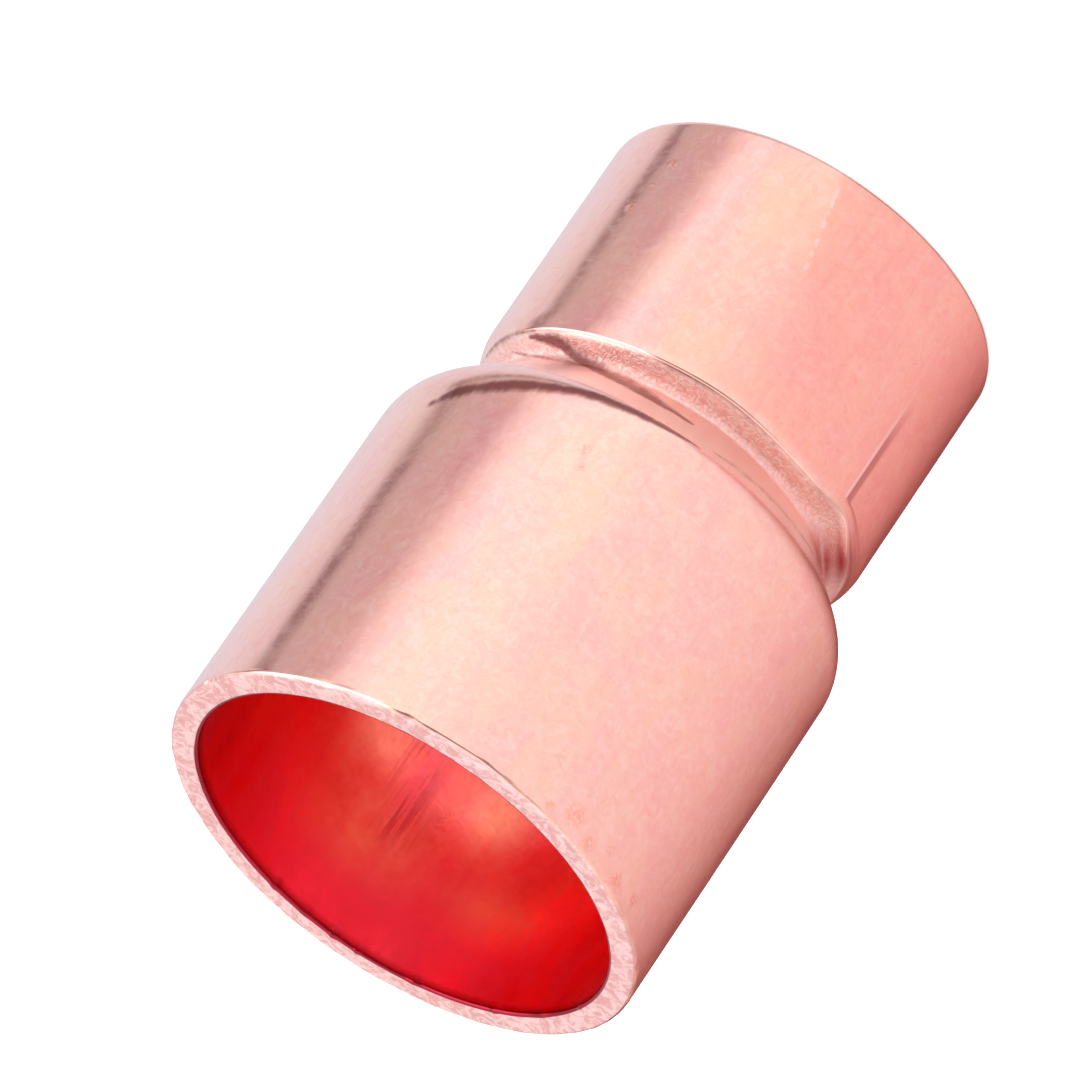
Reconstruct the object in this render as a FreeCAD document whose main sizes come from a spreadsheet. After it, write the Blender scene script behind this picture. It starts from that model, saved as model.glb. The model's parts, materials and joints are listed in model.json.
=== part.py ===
import FreeCAD, Part

import math
import os

import Sketcher

# Concentric copper reducer with two solder sockets, in millimetres.
#
# The fitting is one piece of copper tube, drawn down at one end. Its small socket stands on the
# XY plane and +Z runs up the common axis to the mouth of the large socket. From the foot up it
# has the small socket, a sharp forming line, a pinched neck that is its narrowest place inside
# and out, a rounded shoulder, and the large socket. The wall keeps nearly the same thickness all
# the way. Both mouths are faced square, with the outer edge rounded and the inner edge deburred.

NODE = "reducer_body"

# Alias, value, what it is. Diameters are across the axis and heights are above the XY plane.
SIZES = [
    ("overall_length", 32.7, "small mouth to large mouth"),
    ("large_outside", 21.7, "diameter of the large socket, outside"),
    ("large_bore", 19.15, "diameter of the large socket, inside, for a 19.05 tube"),
    ("small_outside", 18.2, "diameter of the small socket, outside"),
    ("small_bore", 15.98, "diameter of the small socket, inside, for a 15.88 tube"),
    ("line_outside", 17.52, "diameter at the forming line, where the small socket ends"),
    ("neck_outside", 16.14, "diameter of the neck, outside"),
    ("throat_bore", 13.6, "diameter of the neck, inside"),
    ("socket_top", 11.05, "height where the small socket starts to narrow, outside"),
    ("line_height", 11.72, "height of the forming line, where the outside turns in to the neck"),
    ("neck_low", 12.25, "height where the outside has narrowed to the neck"),
    ("neck_high", 12.7, "height where the outside starts to widen again"),
    ("shoulder_top", 15.7, "height where the shoulder's cone meets the large socket, outside"),
    ("small_stop", 10.8, "height where the small bore starts to narrow and stops the tube"),
    ("throat_low", 12.1, "height where the bore has narrowed to the throat"),
    ("throat_high", 13.1, "height where the throat starts to widen again"),
    ("large_stop", 16.1, "height where the inside cone meets the large bore"),
    ("shoulder_round", 2.5, "round between the cone and the large socket, outside"),
    ("stop_round", 1.4, "round between the cone and the large bore, inside"),
    ("socket_round", 2.6, "round between the small socket and the forming line, outside"),
    ("neck_fillet", 0.45, "hollow rounds on both sides of the neck, outside"),
    ("throat_round", 0.6, "rounds at both ends of the throat and of the small bore, inside"),
    ("mouth_round", 0.18, "round on the outer edge of both mouths"),
    ("deburr", 0.12, "chamfer on the inner edge of both mouths"),
]

# Corners of the two half sections, as (diameter, height). None means on the sketch's own axis.
OUTSIDE = [
    (None, None),
    ("small_outside", None),
    ("small_outside", "socket_top"),
    ("line_outside", "line_height"),
    ("neck_outside", "neck_low"),
    ("neck_outside", "neck_high"),
    ("large_outside", "shoulder_top"),
    ("large_outside", "overall_length"),
    (None, "overall_length"),
]
WATERWAY = [
    (None, None),
    ("small_bore", None),
    ("small_bore", "small_stop"),
    ("throat_bore", "throat_low"),
    ("throat_bore", "throat_high"),
    ("large_bore", "large_stop"),
    ("large_bore", "overall_length"),
    (None, "overall_length"),
]

# Feature, name, size, and the corners above whose rings it works on.
EDGE_WORK = [
    ("Fillet", "ShoulderRound", "shoulder_round", OUTSIDE[6:7]),
    ("Fillet", "SocketRound", "socket_round", OUTSIDE[2:3]),
    ("Fillet", "NeckFillets", "neck_fillet", OUTSIDE[4:6]),
    ("Fillet", "StopRound", "stop_round", WATERWAY[5:6]),
    ("Fillet", "ThroatRounds", "throat_round", WATERWAY[2:5]),
    ("Fillet", "MouthRounds", "mouth_round", [OUTSIDE[1], OUTSIDE[7]]),
    ("Chamfer", "Deburring", "deburr", [WATERWAY[1], WATERWAY[6]]),
]
SIZE_PROPERTY = {"Fillet": "Radius", "Chamfer": "Size"}

FULL_TURN = 360
NEARLY = 1e-4
VOLUME_TOLERANCE = 0.01

# How a sketch numbers its origin, its two axes and the ends of a line.
ACROSS_AXIS, UP_AXIS = -1, -2
LINE_START, LINE_END = 1, 2


def size_sheet(doc):
    """The spreadsheet with every driving dimension."""
    sheet = doc.addObject("Spreadsheet::Sheet", "sizes")
    for row, (alias, value, note) in enumerate(SIZES, start=1):
        sheet.set(f"A{row}", alias)
        sheet.set(f"B{row}", str(value))
        sheet.set(f"C{row}", note)
        sheet.setAlias(f"B{row}", alias)
    doc.recompute()
    return sheet


def radius_and_height(sheet, corner):
    """A corner's distance from the axis and its height, read from the sheet."""
    diameter, height = corner
    radius = sheet.get(diameter) / 2 if diameter else 0
    return radius, sheet.get(height) if height else 0


def bind_distance(sketch, direction, line, distance, expression):
    """Tie the start of a line to the sketch's origin by a distance that the sheet drives."""
    origin = (ACROSS_AXIS, LINE_START)
    number = sketch.addConstraint(
        Sketcher.Constraint(direction, *origin, line, LINE_START, distance)
    )
    sketch.setExpression(f"Constraints[{number}]", expression)


def half_section(body, sheet, name, corners):
    """A closed outline on the XZ plane, with every corner driven by the sheet."""
    plane = next(p for p in body.Origin.OriginFeatures if p.Role == "XZ_Plane")
    sketch = body.newObject("Sketcher::SketchObject", name)
    sketch.AttachmentSupport = (plane, "")
    sketch.MapMode = "FlatFace"
    points = [FreeCAD.Vector(*radius_and_height(sheet, corner), 0) for corner in corners]
    for start, end in zip(points, points[1:] + points[:1]):
        sketch.addGeometry(Part.LineSegment(start, end), False)
    for line, (diameter, height) in enumerate(corners):
        next_line = (line + 1) % len(corners)
        sketch.addConstraint(
            Sketcher.Constraint("Coincident", line, LINE_END, next_line, LINE_START)
        )
        if diameter:
            bind_distance(sketch, "DistanceX", line, points[line].x, f"sizes.{diameter} / 2")
        else:
            sketch.addConstraint(Sketcher.Constraint("PointOnObject", line, LINE_START, UP_AXIS))
        if height:
            bind_distance(sketch, "DistanceY", line, points[line].y, f"sizes.{height}")
        else:
            sketch.addConstraint(
                Sketcher.Constraint("PointOnObject", line, LINE_START, ACROSS_AXIS)
            )
    if sketch.solve() != 0 or not sketch.FullyConstrained:
        raise RuntimeError(f"{name} is not fully constrained")
    return sketch


def turned(body, kind, name, sketch):
    """A Revolution or Groove of a half section about the upright axis."""
    feature = body.newObject(f"PartDesign::{kind}", name)
    feature.Profile = sketch
    feature.ReferenceAxis = (sketch, ["V_Axis"])
    feature.Angle = FULL_TURN
    body.Document.recompute()
    return feature


def turned_volume(sheet, corners):
    """What a half section sweeps in a full turn, as a stack of cone frusta."""
    rings = [radius_and_height(sheet, corner) for corner in corners]
    volume = 0
    for (low_radius, low), (high_radius, high) in zip(rings, rings[1:]):
        squares = low_radius**2 + low_radius * high_radius + high_radius**2
        volume += math.pi / 3 * (high - low) * squares
    return volume


def ring_edges(shape, radius, height):
    """Names of the shape's circular edges of one radius at one height."""
    return [
        f"Edge{number}"
        for number, edge in enumerate(shape.Edges, start=1)
        if isinstance(edge.Curve, Part.Circle)
        and abs(edge.Curve.Radius - radius) < NEARLY
        and abs(edge.Curve.Center.z - height) < NEARLY
    ]


def work_edges(body, sheet, kind, name, size, corners):
    """Round or chamfer the rings at some corners of the section."""
    base = body.Tip
    edges = []
    for corner in corners:
        found = ring_edges(base.Shape, *radius_and_height(sheet, corner))
        if not found:
            raise RuntimeError(f"{name} finds no ring at {corner}")
        edges += found
    feature = body.newObject(f"PartDesign::{kind}", name)
    feature.Base = (base, edges)
    feature.setExpression(SIZE_PROPERTY[kind], f"sizes.{size}")
    body.Document.recompute()


def reducer_body(doc, sheet):
    """The whole fitting: a turned outside, a bored waterway and worked edges."""
    body = doc.addObject("PartDesign::Body", "ReducerBody")
    body.Label = NODE
    outside = half_section(body, sheet, "OutsideSection", OUTSIDE)
    blank = turned(body, "Revolution", "Blank", outside)
    waterway = half_section(body, sheet, "WaterwaySection", WATERWAY)
    bored = turned(body, "Groove", "Waterway", waterway)
    removed = blank.Shape.Volume - bored.Shape.Volume
    if abs(removed - turned_volume(sheet, WATERWAY)) > VOLUME_TOLERANCE:
        raise RuntimeError("the waterway is not cut right through")
    for work in EDGE_WORK:
        work_edges(body, sheet, *work)
    return body


def check(doc, body):
    """Stop unless every object computed and the piece is one valid solid."""
    for item in doc.Objects:
        if {"Invalid", "Error"} & set(item.State):
            raise RuntimeError(f"{item.Label} failed: {item.State}")
    shape = body.Shape
    if shape.isNull() or not shape.isValid() or len(shape.Solids) != 1:
        raise RuntimeError(f"{body.Label} is not one valid solid")


def main():
    doc = FreeCAD.newDocument("ConcentricReducer")
    sheet = size_sheet(doc)
    body = reducer_body(doc, sheet)
    doc.recompute()
    check(doc, body)
    os.makedirs("parts", exist_ok=True)
    body.Shape.exportStep(f"parts/{body.Label}.step")
    box = body.Shape.optimalBoundingBox()
    print(f"{body.Label}: {body.Shape.Volume:.1f} mm3, {box.XLength:.2f} x {box.ZLength:.2f} mm")


main()
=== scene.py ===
import json
import math

import bmesh
import bpy
import numpy as np
from mathutils import Matrix, Vector

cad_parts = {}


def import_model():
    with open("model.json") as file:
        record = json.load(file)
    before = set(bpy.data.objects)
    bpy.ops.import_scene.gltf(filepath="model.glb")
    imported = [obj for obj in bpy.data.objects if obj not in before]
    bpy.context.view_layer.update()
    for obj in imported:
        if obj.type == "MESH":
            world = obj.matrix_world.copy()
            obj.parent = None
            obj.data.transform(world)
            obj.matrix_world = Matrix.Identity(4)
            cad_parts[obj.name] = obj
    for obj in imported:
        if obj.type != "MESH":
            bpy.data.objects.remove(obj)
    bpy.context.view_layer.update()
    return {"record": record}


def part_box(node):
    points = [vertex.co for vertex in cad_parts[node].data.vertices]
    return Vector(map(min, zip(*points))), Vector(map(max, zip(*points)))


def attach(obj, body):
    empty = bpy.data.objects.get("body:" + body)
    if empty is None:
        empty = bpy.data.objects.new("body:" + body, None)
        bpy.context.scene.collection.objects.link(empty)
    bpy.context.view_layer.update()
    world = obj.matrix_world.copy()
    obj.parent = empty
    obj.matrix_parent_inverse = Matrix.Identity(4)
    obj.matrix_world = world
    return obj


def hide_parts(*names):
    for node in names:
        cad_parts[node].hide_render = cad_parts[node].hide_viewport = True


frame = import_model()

# A copper solder reducer that stands on its small socket. The visible piece is one closed surface
# of revolution, with the marks that drawing, rolling, sawing and handling leave on it, and with
# painted shade, light and reflections in its colour.
#
# Sizes are in millimetres until the mesh is made, and then in metres. An angle on the part starts
# at the side that faces the camera (-Y) and grows towards +X. The tables give it in degrees.

MM = 0.001
NODE = "reducer_body"
MOUNTS = {mount["name"]: mount for mount in frame["record"]["mounts"]}
LOW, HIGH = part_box(NODE)

# ---------------------------------------------------------------- sizes

# Radii. The forming line is the sharp ring where the small socket ends.
LARGE_OUTSIDE = HIGH.x / MM
LARGE_BORE = MOUNTS["large_socket"]["dims"]["r_mm"]
SMALL_WALL = 1.11
SMALL_BORE = MOUNTS["small_socket"]["dims"]["r_mm"]
SMALL_OUTSIDE = SMALL_BORE + SMALL_WALL
LINE_OUTSIDE = 9.0
NECK_OUTSIDE = 8.07
THROAT = 6.8

# Heights, outside and then inside.
LENGTH = HIGH.z / MM
SOCKET_TOP = 11.2
LINE_HEIGHT = 11.83
NECK_LOW = 12.25
NECK_HIGH = 12.7
SHOULDER_TOP = 15.7
SMALL_STOP = 10.8
THROAT_LOW = 12.1
THROAT_HIGH = 13.1
LARGE_STOP = 16.1

MOUTH_ROUND = 0.18
DEBURR = 0.12
THROAT_ROUND = 0.6

SEGMENTS = 450

# ---------------------------------------------------------------- outline

# Radius, height, round, steps on the round, steps on the straight that follows, and the zone.
CORNERS = [
    (SMALL_OUTSIDE, 0, MOUTH_ROUND, 4, 36, "outside"),
    (SMALL_OUTSIDE, SOCKET_TOP, 3.0, 3, 4, "outside"),
    (LINE_OUTSIDE, LINE_HEIGHT, 0.19, 7, 8, "outside"),
    (NECK_OUTSIDE, NECK_LOW, 0.3, 4, 2, "outside"),
    (NECK_OUTSIDE, NECK_HIGH, 0.45, 4, 16, "outside"),
    (LARGE_OUTSIDE, SHOULDER_TOP, 2.5, 14, 36, "outside"),
    (LARGE_OUTSIDE, LENGTH, MOUTH_ROUND, 5, 8, "large_rim"),
    (LARGE_BORE, LENGTH, DEBURR, 3, 20, "bore"),
    (LARGE_BORE, LARGE_STOP, 1.4, 6, 6, "bore"),
    (THROAT, THROAT_HIGH, THROAT_ROUND, 3, 2, "bore"),
    (THROAT, THROAT_LOW, THROAT_ROUND, 3, 2, "bore"),
    (SMALL_BORE, SMALL_STOP, THROAT_ROUND, 3, 12, "bore"),
    (SMALL_BORE, 0, DEBURR, 3, 6, "small_rim"),
]


def arc_points(corner, before, after, radius, steps):
    """The points of a round of one radius that replaces a corner of the outline."""
    to_before = (before - corner).normalized()
    to_after = (after - corner).normalized()
    half = to_before.angle(to_after) / 2
    reach = radius / math.tan(half)
    centre = corner + (to_before + to_after).normalized() * (radius / math.sin(half))
    start = corner + to_before * reach - centre
    end = corner + to_after * reach - centre
    turn = start.angle_signed(end)
    return [
        centre + Matrix.Rotation(-turn * step / steps, 2) @ start for step in range(steps + 1)
    ]


def stretch(start, end, steps):
    """Points between two ends, without them, closer together near both."""
    shares = [(1 - math.cos(math.pi * step / steps)) / 2 for step in range(1, steps)]
    return [start.lerp(end, share) for share in shares]


def outline():
    """The closed outline as points (radius, height), their normals, and each one's zone."""
    rounds = []
    for number, (radius, height, rounding, steps, _, _) in enumerate(CORNERS):
        before = Vector(CORNERS[number - 1][:2])
        after = Vector(CORNERS[(number + 1) % len(CORNERS)][:2])
        rounds.append(arc_points(Vector((radius, height)), before, after, rounding, steps))
    points, zones = [], []
    for number, (*_, steps, zone) in enumerate(CORNERS):
        run = stretch(rounds[number][-1], rounds[(number + 1) % len(rounds)][0], steps)
        points += rounds[number] + run
        zones += [zone] * (len(rounds[number]) + len(run))
    points = np.array(points)
    along = np.roll(points, -1, axis=0) - np.roll(points, 1, axis=0)
    along /= np.linalg.norm(along, axis=1)[:, None]
    normals = np.stack([along[:, 1], -along[:, 0]], axis=1)
    return points, normals, np.array(zones)


# ---------------------------------------------------------------- curves

def smooth(value, low, high):
    """0 below low, 1 above high, and a smooth rise between."""
    share = np.clip((value - low) / (high - low), 0, 1)
    return share * share * (3 - 2 * share)


def band(value, low, high, edge):
    """1 between low and high, fading to 0 over an edge outside them."""
    return smooth(value, low - edge, low) * (1 - smooth(value, high, high + edge))


def bell(value, middle, width):
    """1 at the middle, falling off smoothly on both sides."""
    return np.exp(-(((value - middle) / width) ** 2))


def away(angle, degrees):
    """How far an angle in radians is from one in degrees, in degrees, the short way round."""
    turn = (angle - math.radians(degrees) + math.pi) % (2 * math.pi) - math.pi
    return np.degrees(turn)


def field(angle, height, seed, count, orders, lengths):
    """A smooth random field with a spread of 1, made of waves that close round the axis."""
    rng = np.random.default_rng(seed)
    total = 0 * angle + 0 * height
    for _ in range(count):
        order = rng.integers(*orders)
        pitch = 2 * math.pi / rng.uniform(*lengths) * rng.choice((-1, 1))
        total = total + np.cos(order * angle + pitch * height + rng.uniform(0, 2 * math.pi))
    return total / math.sqrt(count / 2)


# ---------------------------------------------------------------- marks in the shape

# The wall's waves, and how much of them is left in the bore.
LONG_WAVES = 0.008
SHORT_WAVES = 0.0012
WAVES_IN_BORE = 0.8
# The rings beside the neck.
RING_PITCH = 0.42
RING_HEIGHT = 0.006
RINGS_TOP = 14.4
# The crease in the small socket.
CREASE_ANGLE = -48
CREASE_DEPTH = 0.07
# The forming line: how far it strays, how far it dips towards the small socket where the crease
# meets it, how far its sides and back are drawn in and down, and how far along the axis the wall
# beside it follows.
LINE_STRAYS = 0.02
LINE_DIP = 0.5
LINE_DIP_ANGLE = -52
LINE_DRAWN_IN = 0.24
LINE_DRAWN_DOWN = 0.11
LINE_REACH = 0.9
# The large rim: the saw's waves, and how far from the edges the burrs and the nicks reach.
SAW_WAVES = 0.01
MARKS_BELOW_RIM = 0.2
BURR_REACH = 0.16
NICK_REACH = 0.25

# Burrs inside the large mouth and nicks outside it: angle, half width in degrees, height or depth.
BURRS = [
    (158, 0.9, 0.11),
    (168, 1.5, 0.06),
    (177, 1.0, 0.14),
    (-176, 0.8, 0.11),
    (-160, 1.2, 0.07),
    (-136, 0.9, 0.09),
    (-120, 2.0, 0.05),
    (-103, 1.0, 0.09),
]
NICKS = [
    (73.5, 1.1, 0.2),
    (70.5, 0.8, 0.1),
    (15, 3.0, 0.05),
    (-2, 5.0, 0.05),
    (-24, 1.5, 0.05),
]


def unevenness(angle, height):
    """Long soft waves and short shallow ones, as on any drawn tube."""
    long_waves = field(angle, height, seed=3, count=20, orders=(2, 8), lengths=(12, 45))
    short_waves = field(angle, height, seed=5, count=40, orders=(10, 40), lengths=(1.2, 4))
    return LONG_WAVES * long_waves + SHORT_WAVES * short_waves


def neck_ripples(angle, height):
    """Rings that the forming tool leaves on both sides of the neck, broken up round the axis."""
    rings = np.cos(2 * math.pi * height / RING_PITCH + 0.8 * np.sin(2 * angle + 1))
    patches = field(angle, height, seed=11, count=12, orders=(2, 9), lengths=(1.5, 5))
    where = band(height, low=LINE_HEIGHT + 0.25, high=RINGS_TOP, edge=0.5)
    return RING_HEIGHT * rings * (0.6 + 0.4 * patches) * where


def line_drift(angle):
    """How far the forming line strays along the axis."""
    dip = -LINE_DIP * bell(away(angle, LINE_DIP_ANGLE), 0, width=9)
    strays = field(angle, 0 * angle, seed=17, count=10, orders=(2, 12), lengths=(5, 9))
    return dip + LINE_STRAYS * strays


def line_pull(angle, height):
    """How much the forming line is drawn in, which it is at the sides and the back."""
    sideways = smooth(np.abs(away(angle, 0)), low=62, high=92)
    below = smooth(height, LINE_HEIGHT - 1.4, LINE_HEIGHT)
    above = 1 - smooth(height, LINE_HEIGHT, NECK_LOW)
    return sideways * below * above


def past_crease(angle):
    """How far a place is past the crease, in millimetres round the small socket."""
    return -np.radians(away(angle, CREASE_ANGLE)) * SMALL_OUTSIDE


def creased(height):
    """How strong the crease is along the axis."""
    return smooth(height, low=4.8, high=8.5) * (1 - smooth(height, low=10.9, high=11.4))


def crease(angle, height):
    """A long flat with a sharp edge that a grip has pressed into the small socket."""
    past = past_crease(angle)
    flat = smooth(past, low=-0.05, high=0.5) * (1 - smooth(past, low=0.5, high=4))
    return -CREASE_DEPTH * flat * creased(height)


def rim_marks(angle, radius, height, zone):
    """Waves of the saw on the large rim, burrs on its inner edge and nicks in its outer edge."""
    saw = field(angle, radius, seed=23, count=30, orders=(10, 60), lengths=(0.5, 2))
    marks = SAW_WAVES * saw * (zone == "large_rim")
    near_top = bell(height, LENGTH, MARKS_BELOW_RIM)
    inner = bell(radius, LARGE_BORE, BURR_REACH) * near_top
    for degrees, width, size in BURRS:
        marks = marks + size * inner * bell(away(angle, degrees), 0, width)
    outer = bell(radius, LARGE_OUTSIDE, NICK_REACH) * near_top
    for degrees, width, depth in NICKS:
        marks = marks - depth * outer * bell(away(angle, degrees), 0, width)
    return marks


# ---------------------------------------------------------------- marks, painted shade and painted light in the colour

# Dark lines along the neck, the shoulder and the forming line, which are painted dark reflections
# and shade: how dark, and the line's knots. A knot has an angle, a height, and how far the line
# reaches towards the small and the large mouth.
ALONG_THE_NECK = [
    (61, 11.95, 0.05, 0.05),
    (50, 12.1, 0.3, 0.2),
    (40, 12.7, 0.8, 0.25),
    (30, 13.3, 1.1, 0.25),
    (18, 13.65, 1.1, 0.25),
    (9, 13.75, 0.6, 0.2),
    (1, 13.7, 0.02, 0.02),
]
ALONG_THE_SHOULDER = [
    (62, 18.0, 0.02, 0.02),
    (54, 17.15, 0.4, 0.6),
    (40, 16.4, 0.4, 0.65),
    (23, 15.6, 0.35, 0.55),
    (9, 15.35, 0.3, 0.4),
    (-6, 15.1, 0.02, 0.02),
]
BETWEEN_THOSE = [
    (72, 12.1, 0.02, 0.02),
    (60, 12.45, 0.2, 0.2),
    (46, 12.92, 0.25, 0.22),
    (34, 13.1, 0.02, 0.02),
]
FAINT_ON_THE_SHOULDER = [
    (-2, 14.9, 0.02, 0.02),
    (-14, 14.45, 0.35, 0.3),
    (-40, 14.0, 0.4, 0.3),
    (-75, 13.2, 0.4, 0.3),
]
AT_THE_FOOT_OF_THE_NECK = [
    (-4, 12.3, 0.01, 0.01),
    (-14, 12.25, 0.1, 0.1),
    (-32, 12.2, 0.1, 0.1),
    (-42, 12.2, 0, 0),
]
BESIDE_THE_FORMING_LINE = [
    (33, 11.92, 0.01, 0.01),
    (25, 11.9, 0.1, 0.1),
    (-44, 11.9, 0.1, 0.1),
    (-47, 11.9, 0, 0),
]
ON_THE_FORMING_LINE = [
    (88, 11.85, 0.1, 0.1),
    (70, 11.85, 0.25, 0.15),
    (60, 11.85, 0.2, 0.1),
    (57, 11.85, 0, 0),
]
PAINTED_SHADE_LINES = [
    (1.0, ALONG_THE_NECK),
    (1.0, ALONG_THE_SHOULDER),
    (0.5, BETWEEN_THOSE),
    (0.4, FAINT_ON_THE_SHOULDER),
    (0.28, AT_THE_FOOT_OF_THE_NECK),
    (0.3, BESIDE_THE_FORMING_LINE),
    (0.45, ON_THE_FORMING_LINE),
]
# Keeps a line that ends at no width from dividing by zero.
LEAST_REACH = 1e-3

# Painted dark red shade in the hollow in the neck.
PINCH_ANGLE = -68
PINCH_HEIGHT = 12.0
FOLD_HEIGHT = 11.95
FOLDS_PER_MM = 22 / (2 * math.pi)
# The painted warmer shade over one half of the small socket: the angle of its edge at the small
# mouth, how much that falls with each millimetre of height, and half the edge's width in degrees
# at some heights.
WARM_SHADE_ANGLE = 4.8
WARM_SHADE_SLANT = 1.15
WARM_SHADE_HEIGHTS = (0, 4.5, 7, 11)
WARM_SHADE_SPREADS = (1.2, 1.6, 10, 18)
# The paler strip of painted reflection beside the crease.
PALE_STRIP_ANGLE = -41
# The scratches in the bore: their angle from the back at a height, and how it grows with height.
SCRAPE_ANGLE = -7
SCRAPE_HEIGHT = 25
SCRAPE_SLANT = 1.2
# How far below the rim the bore's dark lip begins, and is full.
LIP_START = 0.32
LIP_FULL = 0.16

# Painted warm reflections in the bore: angle, height, half width in degrees, half length.
WARM_REFLECTIONS = [
    (155, 24.6, 10, 2.1),
    (-165, 24.4, 9, 1.9),
    (168, 28.0, 16, 1.6),
    (-150, 28.2, 14, 1.2),
    (-130, 25, 9, 2),
    (120, 26, 8, 2),
    (30, 25, 10, 2),
    (-40, 26, 9, 2),
]


def soot(angle, height):
    """How dark the painted dark reflections and shade of the lines are: most in the middle of a
    line and 0 at its edges.
    """
    degrees = away(angle, 0)
    total = 0 * angle
    for darkness, knots in PAINTED_SHADE_LINES:
        at, middle, below, above = np.array(sorted(knots)).T
        middle, below, above = (np.interp(degrees, at, value) for value in (middle, below, above))
        beyond = height - middle
        reach = np.where(beyond < 0, below, above) + LEAST_REACH
        inside = band(degrees, at[0], at[-1], edge=1)
        total = np.maximum(total, darkness * inside * np.clip(1 - np.abs(beyond) / reach, 0, 1))
    return total


def pinch(angle, height):
    """Painted dark red shade in the hollow where the crease runs into the neck, with folds along
    it.
    """
    folds = 0.8 + 0.2 * np.cos(2 * math.pi * FOLDS_PER_MM * (height - FOLD_HEIGHT))
    round_axis = bell(away(angle, PINCH_ANGLE), 0, width=12)
    return folds * round_axis * bell(height, PINCH_HEIGHT, width=0.8)


def warm_shade_edge(height):
    """The angle where the painted warmer shade of the small socket ends."""
    return WARM_SHADE_ANGLE - WARM_SHADE_SLANT * height


def tint(angle, height):
    """Painted warmer shade over one half of the small socket. Its edge is sharp near the mouth and
    soft above.
    """
    degrees = away(angle, 0)
    middle = warm_shade_edge(height)
    spread = np.interp(height, WARM_SHADE_HEIGHTS, WARM_SHADE_SPREADS)
    warm = 1 - smooth(degrees, middle - spread, middle + spread)
    return warm * smooth(degrees, low=-150, high=-70) * below_line(height)


def past_tint(angle, height):
    """How far a place is past the edge of the painted warmer shade, in millimetres round the
    socket.
    """
    return np.radians(away(angle, 0) - warm_shade_edge(height)) * SMALL_OUTSIDE


def below_line(height):
    """1 on the small socket, fading out just below the forming line."""
    return 1 - smooth(height, low=11.2, high=11.9)


def neck_frost(angle, height):
    """The dull zone on the neck's ledge, which is fainter at the sides and the back."""
    share = 0.6 + 0.4 * band(away(angle, 0), low=-40, high=50, edge=20)
    above = smooth(height, LINE_HEIGHT + 0.03, LINE_HEIGHT + 0.13)
    return share * above * (1 - smooth(height, low=12.25, high=12.85))


def painted_light_neck(angle, height):
    """Painted light that makes the neck paler, most at the side that faces the camera."""
    share = 0.5 + 0.5 * band(away(angle, 0), low=-46, high=62, edge=14)
    above = smooth(height, LINE_HEIGHT + 0.03, LINE_HEIGHT + 0.08)
    return share * above * (1 - smooth(height, low=14.8, high=15.4))


def red_side_shade(angle, height):
    """Painted red shade over one side of the small socket, with a paler strip of painted
    reflection beside the crease.
    """
    degrees = away(angle, 0)
    paler = 1 - 0.9 * bell(degrees, PALE_STRIP_ANGLE, width=13)
    return band(degrees, low=-88, high=24, edge=6) * paler * below_line(height)


def dotted(angle, height):
    """Where beads sit along the edge of the painted warmer shade, near the small mouth."""
    return band(height, low=0.9, high=5.3, edge=0.3) * (np.cos(angle) > 0.8)


def warm_reflections(angle, height):
    """Painted warm reflections in the bore, as soft patches."""
    total = 0 * angle
    for degrees, middle, width, reach in WARM_REFLECTIONS:
        patch = bell(away(angle, degrees), 0, width) * bell(height, middle, reach)
        total = np.maximum(total, patch)
    return total


def scraped(angle, height):
    """Dark axial scratches in the bore between the two strongest painted warm reflections."""
    middle = SCRAPE_ANGLE + SCRAPE_SLANT * (height - SCRAPE_HEIGHT)
    where = band(height, low=23.2, high=26.8, edge=1.2)
    return bell(away(angle, 180), middle, width=5.5) * where


# ---------------------------------------------------------------- the piece

def moved(angle, radius, height, normals, zone):
    """The radius and height of every point after the marks have moved it."""
    outside = zone == "outside"
    raised = unevenness(angle, height) * np.where(zone == "bore", WAVES_IN_BORE, 1.0)
    raised = raised + (neck_ripples(angle, height) + crease(angle, height)) * outside
    raised = raised + rim_marks(angle, radius, height, zone)
    pull = line_pull(angle, height) * outside
    drift = line_drift(angle) * bell(height, LINE_HEIGHT, LINE_REACH) * outside
    new_radius = radius + raised * normals[:, :1] - LINE_DRAWN_IN * pull
    new_height = height + raised * normals[:, 1:] + drift - LINE_DRAWN_DOWN * pull
    return new_radius, new_height


def masks(angle, height, normals, zone):
    """What the material is told about every point, under the names of the mesh's attributes."""
    outside = zone == "outside"
    bore = zone == "bore"
    sawn = (zone == "large_rim") | (zone == "small_rim")
    near_crease = np.cos(angle - math.radians(CREASE_ANGLE)) > 0
    return {
        "bore": bore * 1.0,
        "rim": smooth(np.abs(normals[:, 1:]), low=0.75, high=0.97) * sawn,
        "frost": neck_frost(angle, height) * outside,
        # Painted light that makes the neck paler.
        "neck": painted_light_neck(angle, height) * outside,
        # Painted dark reflections and shade along the neck, the shoulder and the forming line.
        "soot": soot(angle, height) * outside,
        # Painted warmer and red shade on one side of the small socket.
        "tint": tint(angle, height) * outside,
        "redder": red_side_shade(angle, height) * outside,
        "dotted": dotted(angle, height) * outside,
        "past_tint": past_tint(angle, height),
        "creased": creased(height) * near_crease * outside,
        "past_crease": past_crease(angle),
        # Painted dark red shade in the neck's hollow.
        "pinch": pinch(angle, height) * outside,
        # Painted warm reflections in the bore.
        "glow": warm_reflections(angle, height) * bore,
        "scraped": scraped(angle, height) * bore,
        "lip": smooth(height, LENGTH - LIP_START, LENGTH - LIP_FULL) * bore,
    }


def grid_faces(rings):
    """Quads between all neighbouring points, closed both ways."""
    corner = np.arange(rings * SEGMENTS).reshape(rings, SEGMENTS)
    ahead = np.roll(corner, -1, axis=1)
    up = np.roll(corner, -1, axis=0)
    up_ahead = np.roll(ahead, -1, axis=0)
    return np.stack([corner, ahead, up_ahead, up], axis=2).reshape(-1, 4)


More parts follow.
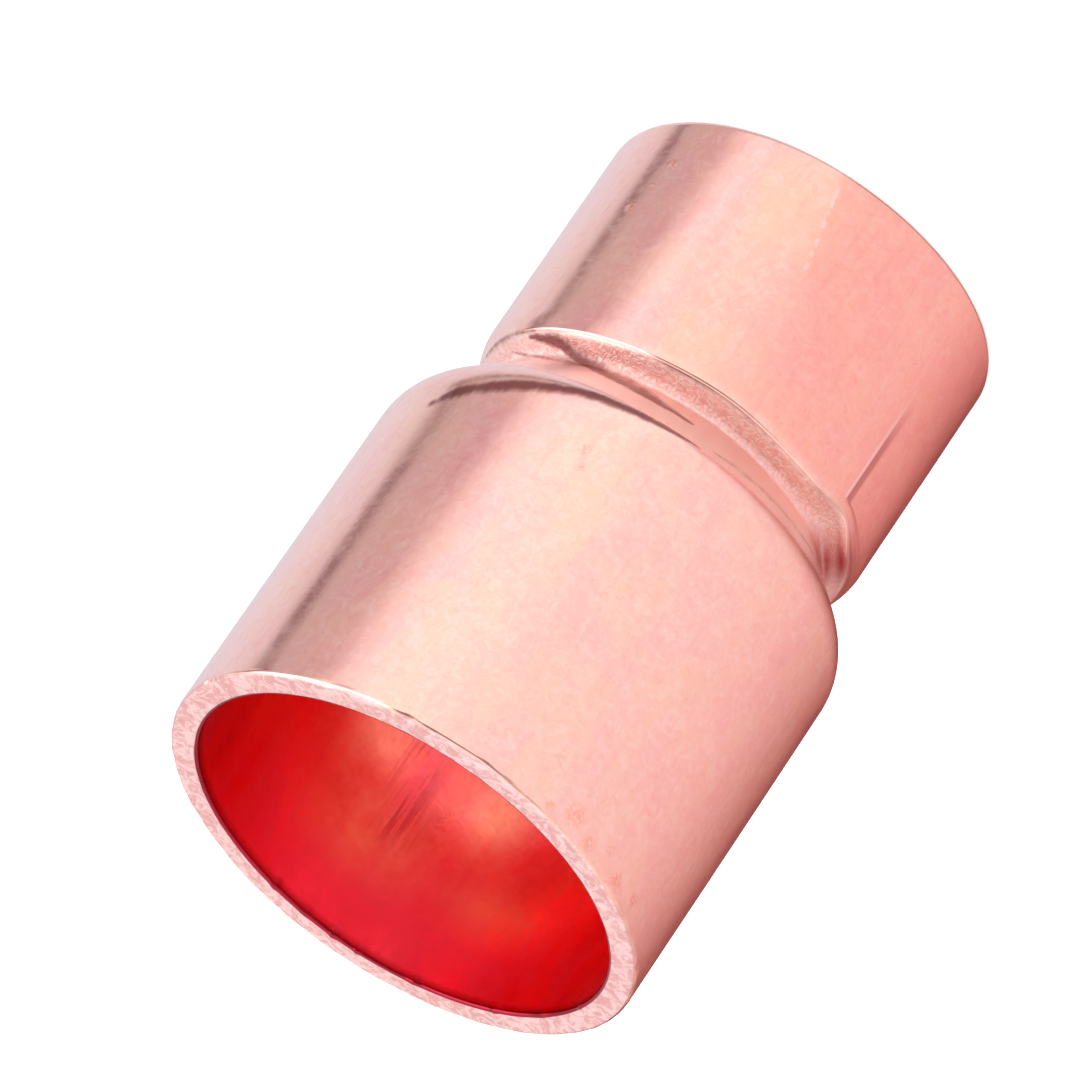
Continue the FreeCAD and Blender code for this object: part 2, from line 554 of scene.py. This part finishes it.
def reducer():
    """The whole fitting as one closed mesh, with masks for its material."""
    points, normals, zones = outline()
    grid = (len(points), SEGMENTS)
    angle = np.broadcast_to(np.linspace(0, 2 * math.pi, SEGMENTS, endpoint=False), grid)
    radius = np.broadcast_to(points[:, :1], grid)
    height = np.broadcast_to(points[:, 1:], grid)
    zone = zones[:, None]

    new_radius, new_height = moved(angle, radius, height, normals, zone)
    across, towards = new_radius * np.sin(angle), -new_radius * np.cos(angle)
    places = np.stack([across, towards, new_height], axis=2).reshape(-1, 3) * MM
    mesh = bpy.data.meshes.new("copper_reducer")
    mesh.from_pydata(places.tolist(), [], grid_faces(len(points)).tolist())
    mesh.shade_smooth()
    for name, mask in masks(angle, height, normals, zone).items():
        values = np.broadcast_to(mask, grid).ravel()
        mesh.attributes.new(name, "FLOAT", "POINT").data.foreach_set("value", values)

    piece = bpy.data.objects.new("copper_reducer", mesh)
    bpy.context.scene.collection.objects.link(piece)
    return piece


# ---------------------------------------------------------------- node graphs

# The inputs of a Mix node, in its number mode and its colour mode: share, first, second.
NUMBER_MIX = (0, 2, 3)
COLOUR_MIX = (0, 6, 7)
COLOUR_MIX_RESULT = 2
# How much of the reach of a thin line or a scar is at full strength.
SHARP_CORE = 0.3


class Graph:
    """Adds nodes to a tree and wires them."""

    def __init__(self, tree):
        self.tree = tree

    def feed(self, socket, value):
        """Link another node's output to a socket, or set the socket's own value."""
        if isinstance(value, bpy.types.NodeSocket):
            self.tree.links.new(value, socket)
        else:
            socket.default_value = value

    def add(self, kind, inputs, **settings):
        """A node with its settings and inputs."""
        node = self.tree.nodes.new(kind)
        for name, value in settings.items():
            setattr(node, name, value)
        for socket, value in inputs.items():
            self.feed(node.inputs[socket], value)
        return node

    def math(self, operation, first, second=0.0):
        """One operation on two numbers."""
        return self.add("ShaderNodeMath", {0: first, 1: second}, operation=operation).outputs[0]

    def mix(self, share, first, second, blend="MIX"):
        """Two colours, mixed."""
        node = self.add("ShaderNodeMix", {}, data_type="RGBA", blend_type=blend)
        for socket, value in zip(COLOUR_MIX, (share, first, second)):
            self.feed(node.inputs[socket], value)
        return node.outputs[COLOUR_MIX_RESULT]

    def blend(self, share, first, second):
        """Two numbers, mixed."""
        inputs = dict(zip(NUMBER_MIX, (share, first, second)))
        return self.add("ShaderNodeMix", inputs).outputs[0]

    def rise(self, value, low, high, start=0.0, end=1.0):
        """A smooth change from start to end while the value goes from low to high."""
        inputs = {"Value": value, 1: low, 2: high, 3: start, 4: end}
        node = self.add("ShaderNodeMapRange", inputs, interpolation_type="SMOOTHSTEP")
        return node.outputs[0]

    def noise(self, place, scale, detail, roughness, distortion, along):
        """Noise with so many features per millimetre, on its own scale along the axis."""
        if along != 1:
            inputs = {"Vector": place, "Scale": (1, 1, along)}
            place = self.add("ShaderNodeMapping", inputs).outputs[0]
        inputs = {
            "Vector": place,
            "Scale": scale / MM,
            "Detail": detail,
            "Roughness": roughness,
            "Distortion": distortion,
        }
        return self.add("ShaderNodeTexNoise", inputs).outputs[0]

    def mask(self, name):
        """An attribute of the mesh."""
        return self.add("ShaderNodeAttribute", {}, attribute_name=name).outputs["Fac"]

    def beside(self, distance, middle, reach):
        """1 where a signed distance equals the middle, fading to 0 at a reach from it."""
        gap = self.math("ABSOLUTE", self.math("SUBTRACT", distance, middle))
        return self.rise(gap, reach, SHARP_CORE * reach)

    def bump(self, depth, height, normal=None):
        """A bump of a depth in millimetres on top of another."""
        inputs = {"Strength": 1.0, "Distance": depth * MM, "Height": height}
        if normal:
            inputs["Normal"] = normal
        return self.add("ShaderNodeBump", inputs).outputs[0]


# ---------------------------------------------------------------- copper

# The outside.
PEACH = (0.978, 0.587, 0.457, 1)
ROSE = (0.972, 0.545, 0.475, 1)
PALE = (0.99, 0.69, 0.60, 1)
LINE_TONE = (0.90, 0.45, 0.39, 1)
# Painted warmer and red shade on one side of the small socket.
WARMER_SHADE = (1.0, 0.86, 0.85, 1)
REDDER_SHADE = (1.0, 0.885, 0.87, 1)
# Painted shade in the crease.
CREASE_SHADE = (0.62, 0.24, 0.21, 1)
SCAR_TONE = (0.98, 0.42, 0.28, 1)
SAWN = (0.87, 0.50, 0.47, 1)
# The sawn rim's pale blotches, and the painted highlight on the crease's edge.
SAWN_PALE_AND_GLINT = (1.0, 0.74, 0.71, 1)
# The neck: painted light, the frost's tones, and painted shade.
# Painted light that makes the neck paler.
PAINTED_LIGHT_PINK = (1.0, 0.80, 0.74, 1)
BLUSH = (0.98, 0.50, 0.43, 1)
FROSTED = (1.0, 0.70, 0.62, 1)
# Painted dark red shade in the neck's hollow.
PINCH_SHADE_RED = (0.42, 0.03, 0.035, 1)
# Painted dark reflections and shade along the neck, the shoulder and the forming line.
PAINTED_SHADE_TONE = (0.18, 0.015, 0.018, 1)
# The bore: copper painted a deep red for the shade of its mirrored light, with painted warm
# reflections.
CRIMSON = (0.90, 0.20, 0.40, 1)
FLAME = (0.97, 0.345, 0.325, 1)
# Painted warm reflections in the bore.
WARM_REFLECTION_TONE = (1.0, 1.0, 0.60, 1)
SCRAPE = (0.66, 0.22, 0.25, 1)
LIP = (0.38, 0.025, 0.045, 1)
# Heights where the bore is all crimson, and all flame.
CRIMSON_HEIGHT = 30.5
FLAME_HEIGHT = 25.5

# Textures: features per millimetre, detail, roughness, distortion, and scale along the axis, where
# less than 1 draws the pattern out.
TEXTURES = {
    "patches": (0.42, 4, 0.62, 0.5, 0.7),
    "flecks": (1.7, 4, 0.7, 1.0, 1),
    "lines": (2.6, 3, 0.6, 0.0, 0.05),
    "grain": (5.5, 2, 0.6, 0.0, 1),
    "worms": (3.0, 2, 0.6, 2.2, 1),
    "streaks": (0.75, 4, 0.65, 0.3, 0.12),
    "blotches": (1.5, 3, 0.65, 1.6, 1),
    "scratches": (3.4, 2, 0.6, 0.0, 0.04),
    "beading": (2.4, 1, 0.5, 0.0, 1),
    "ragged": (2.4, 3, 0.6, 0.0, 0.05),
}

# Layers over the two main tones: texture, where it starts, where it is full, its share, its tone.
MOTTLING = [
    ("flecks", 0.42, 0.68, 0.5, PALE),
    ("blotches", 0.55, 0.68, 0.4, PALE),
    ("blotches", 0.44, 0.32, 0.35, LINE_TONE),
    ("lines", 0.5, 0.75, 0.25, LINE_TONE),
]
# Small marks over those: mark, share, tone. The hollow's tone is painted shade in the crease, and
# the raised tone is a painted highlight on the crease's edge, which the beads share.
MARK_TONES = [
    ("scars", 0.75, SCAR_TONE),
    ("hollow", 0.75, CREASE_SHADE),
    ("raised", 0.6, SAWN_PALE_AND_GLINT),
]
# The roughness of the duller places, each over the ones before it.
DULL_PLACES = {"neck": 0.3, "frost": 0.6, "rim": 0.5}
# How deep each texture or mark is, in millimetres, from the first bump to the last.
RELIEF = {
    "lines": 0.0012,
    "flecks": 0.003,
    "grain": 0.0006,
    "grit": 0.07,
    "beads": 0.012,
    "step": -0.03,
    "scars": 0.009,
}

# The rim's grit as a share of the neck's.
GRIT_ON_RIM = 0.6

# Small scars of handling: angle, height, and how far each one reaches, in millimetres.
SCARS = [
    (48.6, 2.5, 0.4),
    (52.7, 5.0, 0.4),
    (50.5, 3.8, 0.25),
    (16.6, 18.2, 0.35),
    (15.0, 19.0, 0.25),
    (-20, 32.2, 0.35),
    (-26, 31.7, 0.7),
    (-32, 32.1, 0.5),
    (-38, 31.5, 0.4),
    (-44, 32.1, 0.55),
    (-52, 31.8, 0.4),
    (150, 24, 0.4),
    (-110, 8, 0.4),
    (118, 5, 0.35),
    (-95, 26, 0.45),
]


def scarred(g, place, worms):
    """Rough spots with ragged edges, where the list of scars puts them."""
    total = 0.0
    for degrees, height, reach in SCARS:
        radius = LARGE_OUTSIDE if height > SHOULDER_TOP else SMALL_OUTSIDE
        turn = math.radians(degrees)
        spot = Vector((radius * math.sin(turn), -radius * math.cos(turn), height)) * MM
        inputs = {0: place, 1: spot}
        gap = g.add("ShaderNodeVectorMath", inputs, operation="DISTANCE").outputs["Value"]
        total = g.math("MAXIMUM", total, g.rise(gap, reach * MM, SHARP_CORE * reach * MM))
    return g.math("MULTIPLY", total, g.rise(worms, low=0.42, high=0.58))


def small_marks(g, place, texture):
    """The scars, the crease's painted shade and painted highlight lines, and the beads on the
    painted warmer shade's edge.
    """
    past = g.mask("past_crease")
    strength = g.mask("creased")
    # Painted shade in the crease, and a painted highlight on its edge.
    hollow = g.math("MULTIPLY", g.beside(past, middle=0.22, reach=0.3), strength)
    ridge = g.math("MULTIPLY", g.beside(past, middle=-0.1, reach=0.13), strength)
    edge = g.beside(g.mask("past_tint"), middle=0, reach=0.13)
    on_edge = g.math("MULTIPLY", edge, g.mask("dotted"))
    beads = g.math("MULTIPLY", on_edge, g.rise(texture["beading"], low=0.45, high=0.55, end=0.6))
    step = g.math("MULTIPLY", g.rise(past, low=-0.06, high=0.12), g.rise(past, low=4, high=1))
    return {
        "scars": scarred(g, place, texture["worms"]),
        "hollow": hollow,
        "raised": g.math("MAXIMUM", ridge, beads),
        "beads": beads,
        "step": g.math("MULTIPLY", step, strength),
    }


def outside_colour(g, texture, marks):
    """Mottled copper with painted warmer and red shade on the small socket, painted light on the
    neck, and the small marks, with painted shade and a painted highlight in the crease.
    """
    colour = g.mix(g.rise(texture["patches"], low=0.38, high=0.62), ROSE, PEACH)
    for name, start, full, share, tone in MOTTLING:
        cover = g.rise(texture[name], low=start, high=full, end=share)
        colour = g.mix(cover, colour, tone)
    # Painted warmer and red shade on one side of the small socket.
    for name, tone in (("tint", WARMER_SHADE), ("redder", REDDER_SHADE)):
        colour = g.mix(g.mask(name), colour, g.mix(1.0, colour, tone, "MULTIPLY"))
    # Painted light that makes the neck paler.
    colour = g.mix(g.mask("neck"), colour, PAINTED_LIGHT_PINK)
    for name, share, tone in MARK_TONES:
        colour = g.mix(g.math("MULTIPLY", marks[name], share), colour, tone)
    return colour


def bore_colour(g, place, texture):
    """Copper painted a deep red for the shade of the light mirrored in the bore, crimson near the
    mouth, with painted warm reflections and a scraped strip.
    """
    height = g.add("ShaderNodeSeparateXYZ", {0: place}).outputs["Z"]
    deep = g.rise(height, low=CRIMSON_HEIGHT * MM, high=FLAME_HEIGHT * MM)
    # Copper painted a deep red for the shade of the light mirrored in the bore.
    colour = g.mix(deep, CRIMSON, FLAME)
    streaks = texture["streaks"]
    colour = g.mix(g.rise(streaks, low=0.48, high=0.36, end=0.45), colour, CRIMSON)
    streaky = g.rise(streaks, low=0.36, high=0.56, start=0.7)
    # Painted warm reflections in the bore.
    colour = g.mix(g.math("MULTIPLY", g.mask("glow"), streaky), colour, WARM_REFLECTION_TONE)
    scratched = g.rise(texture["scratches"], low=0.44, high=0.56)
    return g.mix(g.math("MULTIPLY", g.mask("scraped"), scratched), colour, SCRAPE)


def painted_shade_cover(g, texture):
    """How much the painted dark reflections and shade of the lines cover. Their edges are ragged.
    """
    strength = g.mask("soot")
    ragged = g.math("MULTIPLY", g.math("SUBTRACT", texture["ragged"], 0.5), 0.8)
    dark = g.rise(g.math("ADD", strength, ragged), low=0.02, high=0.8)
    return g.math("MULTIPLY", dark, g.rise(strength, low=0.0, high=0.35, end=0.8))


def copper_colour(g, place, texture, marks):
    """The colour of the outside and the bore, under the sawn and dull places, the painted dark
    reflections and shade of the lines, and the painted shade in the neck's hollow.
    """
    colour = outside_colour(g, texture, marks)
    colour = g.mix(g.mask("bore"), colour, bore_colour(g, place, texture))
    colour = g.mix(g.mask("lip"), colour, LIP)
    frosted = g.mix(g.rise(texture["worms"], low=0.4, high=0.6), BLUSH, FROSTED)
    colour = g.mix(g.mask("frost"), colour, frosted)
    sawn = g.mix(g.rise(texture["blotches"], low=0.4, high=0.58), SAWN, SAWN_PALE_AND_GLINT)
    colour = g.mix(g.mask("rim"), colour, sawn)
    # Painted dark reflections and shade along the neck, the shoulder and the forming line.
    colour = g.mix(painted_shade_cover(g, texture), colour, PAINTED_SHADE_TONE)
    # Painted dark red shade in the neck's hollow.
    return g.mix(g.mask("pinch"), colour, PINCH_SHADE_RED)


def copper_roughness(g, texture):
    """Satin, and duller on the neck and the rims."""
    patchy = g.rise(texture["patches"], low=0.35, high=0.65, start=0.12, end=0.2)
    flecked = g.rise(texture["flecks"], low=0.4, high=0.7, end=0.06)
    roughness = g.math("ADD", patchy, flecked)
    for name, dullness in DULL_PLACES.items():
        roughness = g.blend(g.mask(name), roughness, dullness)
    return roughness


def copper_relief(g, texture, marks):
    """The fine relief, as one bump on top of another."""
    on_rim = g.math("MULTIPLY", g.mask("rim"), GRIT_ON_RIM)
    gritty = g.math("MAXIMUM", on_rim, g.mask("frost"))
    heights = {**texture, **marks, "grit": g.math("MULTIPLY", texture["worms"], gritty)}
    normal = None
    for name, depth in RELIEF.items():
        normal = g.bump(depth, heights[name], normal)
    return normal


def copper():
    """Bare drawn copper: satin outside, with painted deep red shade in the bores and painted shade
    and light outside, matt and pale where it is sawn.
    """
    material = bpy.data.materials.new("drawn_copper")
    material.use_nodes = True
    shader = material.node_tree.nodes["Principled BSDF"]
    g = Graph(material.node_tree)
    place = g.add("ShaderNodeTexCoord", {}).outputs["Object"]
    texture = {name: g.noise(place, *values) for name, values in TEXTURES.items()}
    marks = small_marks(g, place, texture)
    g.feed(shader.inputs["Base Color"], copper_colour(g, place, texture, marks))
    g.feed(shader.inputs["Roughness"], copper_roughness(g, texture))
    g.feed(shader.inputs["Normal"], copper_relief(g, texture, marks))
    shader.inputs["Metallic"].default_value = 1
    return material


# ---------------------------------------------------------------- studio

TENT_RADIUS = 1.2
PAPER_RADIUS = TENT_RADIUS * 0.95
# The tent's light by direction, in degrees from the camera's side and growing towards +X. The
# lowest part is what the walls of the fitting mirror.
LOW_LIGHT = [
    (-180, (0.30, 0.09, 0.09)),
    (-160, (0.31, 0.10, 0.10)),
    (-150, (0.48, 0.19, 0.17)),
    (-120, (0.78, 0.52, 0.53)),
    (-90, (0.97, 0.76, 0.81)),
    (-50, (1.02, 0.94, 1.00)),
    (0, (1.03, 1.07, 1.12)),
    (30, (1.23, 1.27, 1.26)),
    (56, (1.18, 1.22, 1.33)),
    (67, (1.03, 0.95, 1.02)),
    (77, (0.69, 0.55, 0.62)),
    (104, (0.64, 0.60, 0.64)),
    (107, (0.30, 0.22, 0.25)),
    (112, (0.32, 0.24, 0.27)),
    (116, (0.84, 0.84, 0.92)),
    (140, (0.87, 0.91, 1.04)),
    (165, (0.78, 0.80, 0.90)),
    (180, (0.70, 0.72, 0.82)),
]
# The middle part, which the edges and the rims mirror.
HIGH_LIGHT = [
    (-180, (0.80, 0.74, 0.76)),
    (-160, (0.70, 0.58, 0.58)),
    (-110, (0.80, 0.68, 0.68)),
    (-60, (1.15, 1.08, 1.07)),
    (-25, (0.70, 0.60, 0.60)),
    (5, (0.28, 0.21, 0.21)),
    (36, (0.32, 0.25, 0.25)),
    (44, (2.50, 2.50, 2.70)),
    (96, (2.50, 2.50, 2.70)),
    (108, (1.50, 1.50, 1.60)),
    (122, (0.80, 0.80, 0.90)),
    (150, (0.85, 0.85, 0.93)),
    (180, (0.80, 0.74, 0.76)),
]
# The top, which the neck's ledge mirrors.
OVERHEAD = (1.30, 1.22, 1.24, 1)
# Where one part of the tent gives way to the next, as shares of its radius above its middle.
LOW_TO_HIGH = (0.02, 0.14)
HIGH_TO_OVERHEAD = (0.58, 0.74)

PAPER_TONE = (0.93, 0.93, 0.93, 1)
PAPER_ROUGHNESS = 0.9
LAMP_WIDTH = 1.2
LAMP_HEIGHT = 0.9
LAMP_POWER = 12
# Light in the bore is mirrored many times before it comes out.
MIRRORINGS = 24

# The photo's camera: millimetres for the lens, metres for the distance from the origin, degrees
# for the rest. It stands at this elevation over the origin and looks down by the pitch, at the
# middle of the part.
SENSOR = 36
LENS = 359.4
CAMERA_DISTANCE = 0.44935
CAMERA_ELEVATION = 30.09
CAMERA_PITCH = 28.157
CAMERA_YAW = -0.386
CAMERA_ROLL = -145.52


def light_ramp(g, share, stops):
    """A colour ramp over the directions."""
    node = g.add("ShaderNodeValToRGB", {0: share})
    elements = node.color_ramp.elements
    while len(elements) < len(stops):
        elements.new(0.5)
    for element, (direction, _) in zip(elements, stops):
        element.position = (direction + 180) / 360
    for element, (_, colour) in zip(elements, stops):
        element.color = (*colour, 1)
    return node.outputs[0]


def tent_cloth():
    """Light whose colour depends on where it comes from."""
    material = bpy.data.materials.new("tent_cloth")
    material.use_nodes = True
    material.node_tree.nodes.clear()
    g = Graph(material.node_tree)
    place = g.add("ShaderNodeTexCoord", {}).outputs["Object"]
    axes = g.add("ShaderNodeSeparateXYZ", {0: place}).outputs
    forward = g.math("MULTIPLY", axes["Y"], -1.0)
    direction = g.math("ARCTAN2", axes["X"], forward)
    share = g.add("ShaderNodeMapRange", {"Value": direction, 1: -math.pi, 2: math.pi}).outputs[0]
    height = g.math("DIVIDE", axes["Z"], TENT_RADIUS)
    low, high = light_ramp(g, share, LOW_LIGHT), light_ramp(g, share, HIGH_LIGHT)
    colour = g.mix(g.rise(height, *LOW_TO_HIGH), low, high)
    colour = g.mix(g.rise(height, *HIGH_TO_OVERHEAD), colour, OVERHEAD)
    emission = g.add("ShaderNodeEmission", {"Color": colour})
    g.add("ShaderNodeOutputMaterial", {"Surface": emission.outputs[0]})
    return material


def staged(name, shape, material):
    """An object of the studio, which isn't part of the fitting."""
    mesh = bpy.data.meshes.new(name)
    shape.to_mesh(mesh)
    shape.free()
    mesh.materials.append(material)
    thing = bpy.data.objects.new(name, mesh)
    bpy.context.scene.collection.objects.link(thing)
    return thing


def light_tent():
    """A dome all round the part that its metal mirrors. The camera and the paper don't see it."""
    shape = bmesh.new()
    bmesh.ops.create_uvsphere(shape, u_segments=64, v_segments=32, radius=TENT_RADIUS)
    tent = staged("light_tent", shape, tent_cloth())
    tent.visible_camera = False
    tent.visible_diffuse = False


def floor():
    """Pale paper under the part. It casts no shadow, and the metal doesn't mirror it."""
    material = bpy.data.materials.new("floor_paper")
    material.use_nodes = True
    shader = material.node_tree.nodes["Principled BSDF"]
    shader.inputs["Base Color"].default_value = PAPER_TONE
    shader.inputs["Roughness"].default_value = PAPER_ROUGHNESS
    shape = bmesh.new()
    bmesh.ops.create_circle(shape, cap_ends=True, segments=96, radius=PAPER_RADIUS)
    paper = staged("floor", shape, material)
    paper.location.z = LOW.z
    paper.visible_glossy = False
    paper.visible_shadow = False


def lamp():
    """A wide soft lamp overhead for the paper, which the metal doesn't mirror."""
    data = bpy.data.lights.new("overhead_lamp", "AREA")
    data.shape = "DISK"
    data.size = LAMP_WIDTH
    data.energy = LAMP_POWER
    thing = bpy.data.objects.new("overhead_lamp", data)
    thing.location.z = LAMP_HEIGHT
    thing.visible_glossy = False
    bpy.context.scene.collection.objects.link(thing)


def camera():
    """The photo's view: down into the large mouth, with the camera rolled."""
    data = bpy.data.cameras.new("camera")
    data.sensor_width = SENSOR
    data.lens = LENS
    data.clip_start = 0.05
    data.clip_end = 5
    thing = bpy.data.objects.new("camera", data)
    bpy.context.scene.collection.objects.link(thing)
    elevation = math.radians(CAMERA_ELEVATION)
    away_from_part = -CAMERA_DISTANCE * math.cos(elevation)
    place = Vector((0, away_from_part, CAMERA_DISTANCE * math.sin(elevation)))
    turn = Matrix.Rotation(math.radians(CAMERA_YAW), 4, "Z")
    tilt = Matrix.Rotation(math.radians(90 - CAMERA_PITCH), 4, "X")
    roll = Matrix.Rotation(math.radians(CAMERA_ROLL), 4, "Z")
    thing.matrix_world = Matrix.Translation(place) @ turn @ tilt @ roll
    bpy.context.scene.camera = thing


def world():
    """White light from beyond the tent, for the paper and the background."""
    studio = bpy.data.worlds.new("studio")
    studio.use_nodes = True
    background = studio.node_tree.nodes["Background"]
    background.inputs["Color"].default_value = (1, 1, 1, 1)
    bpy.context.scene.world = studio


# ---------------------------------------------------------------- the scene

piece = reducer()
piece.data.materials.append(copper())
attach(piece, "root")
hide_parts(NODE)

light_tent()
floor()
lamp()
camera()
world()

scene = bpy.context.scene
scene.view_settings.view_transform = "Standard"
scene.cycles.max_bounces = MIRRORINGS
scene.cycles.glossy_bounces = MIRRORINGS
